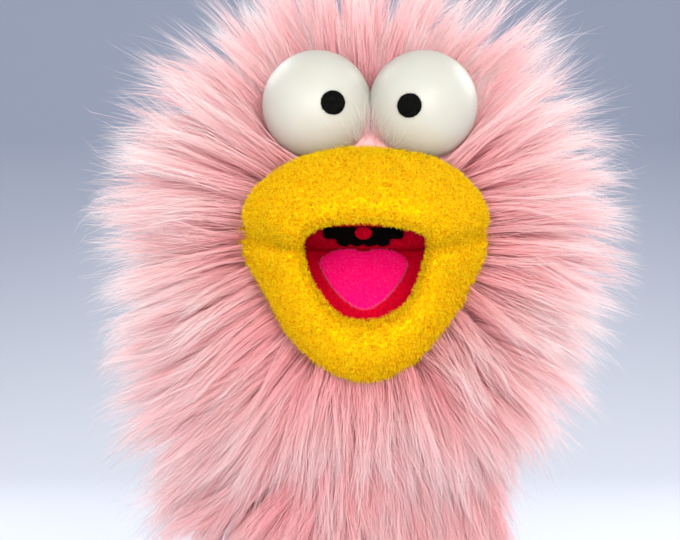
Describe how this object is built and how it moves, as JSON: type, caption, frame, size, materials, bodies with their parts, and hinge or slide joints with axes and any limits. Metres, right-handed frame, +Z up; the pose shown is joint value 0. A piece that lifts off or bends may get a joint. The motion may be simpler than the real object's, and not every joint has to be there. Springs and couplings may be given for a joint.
{
  "type": "moving mouth hand puppet",
  "caption": "Furry hand puppet head on a short sleeve: hinged jaw with padded fleece lips and felt tongue, ball eyes, nodding and turning head.",
  "frame": {"origin": "centre of the round arm opening, on the lower plane of the hem band", "axes": "+Z up along the sleeve towards the top of the head, the face and mouth look along -Y, +X is towards the right eye as seen from the front"},
  "size_m": [0.208, 0.194, 0.312],
  "materials": {
    "pink_fur": "long pile faux fur, salmon pink roots and off-white tips",
    "fur_backing": "knitted backing cloth",
    "lining_cloth": "smooth woven lining",
    "hem_tape": "folded and stitched binding",
    "elastic": "ribbed woven elastic",
    "foam": "open cell upholstery foam",
    "yellow_fleece": "curly golden yellow fleece",
    "mouth_board": "stiff card",
    "red_felt": "matte wool felt",
    "black_felt": "matte wool felt",
    "pink_felt": "matte wool felt",
    "eye_plastic": "matte celluloid ball, slightly translucent",
    "cloth_tape": "woven cotton tape"
  },
  "bodies": {
    "sleeve": {"hem_band": "hem_tape", "sleeve_lining": "lining_cloth", "sleeve_backing": "fur_backing", "sleeve_fur_front": "pink_fur", "sleeve_fur_back": "pink_fur"},
    "neck": {"neck_lining": "lining_cloth", "neck_backing": "fur_backing", "neck_elastic": "elastic", "neck_fur": "pink_fur"},
    "head": {"head_backing": "fur_backing", "head_foam_left": "foam", "head_foam_right": "foam", "crown_fur": "pink_fur", "back_fur": "pink_fur", "left_cheek_fur": "pink_fur", "right_cheek_fur": "pink_fur", "upper_mouth_plate": "mouth_board", "palate_felt": "red_felt", "upper_lip_foam": "foam", "upper_lip_cover": "yellow_fleece", "fold_felt": "red_felt", "throat_patch": "black_felt", "uvula": "red_felt", "finger_strap": "elastic", "hinge_tape_upper": "cloth_tape", "left_eye": "eye_plastic", "right_eye": "eye_plastic", "left_pupil": "black_felt", "right_pupil": "black_felt"},
    "jaw": {"lower_mouth_plate": "mouth_board", "floor_felt": "red_felt", "tongue": "pink_felt", "lower_lip_foam": "foam", "lower_lip_cover": "yellow_fleece", "thumb_strap": "elastic", "hinge_tape_lower": "cloth_tape", "chin_backing": "fur_backing", "chin_fur": "pink_fur"}
  },
  "joints": [
    {"name": "head_turn", "type": "hinge", "parent": "sleeve", "child": "neck", "pos_m": [0, 0, 0.1043], "axis": [0, 0, 1], "range_deg": [-40, 40]},
    {"name": "head_nod", "type": "hinge", "parent": "neck", "child": "head", "pos_m": [0, 0, 0.13], "axis": [1, 0, 0], "range_deg": [-20, 20], "deforming": ["neck_fur", "neck_backing", "neck_lining"]},
    {"name": "jaw_hinge", "type": "hinge", "parent": "head", "child": "jaw", "pos_m": [0, -0.02, 0.203], "axis": [1, 0, 0], "range_deg": [-42, 12], "deforming": ["chin_fur", "chin_backing"]}
  ]
}
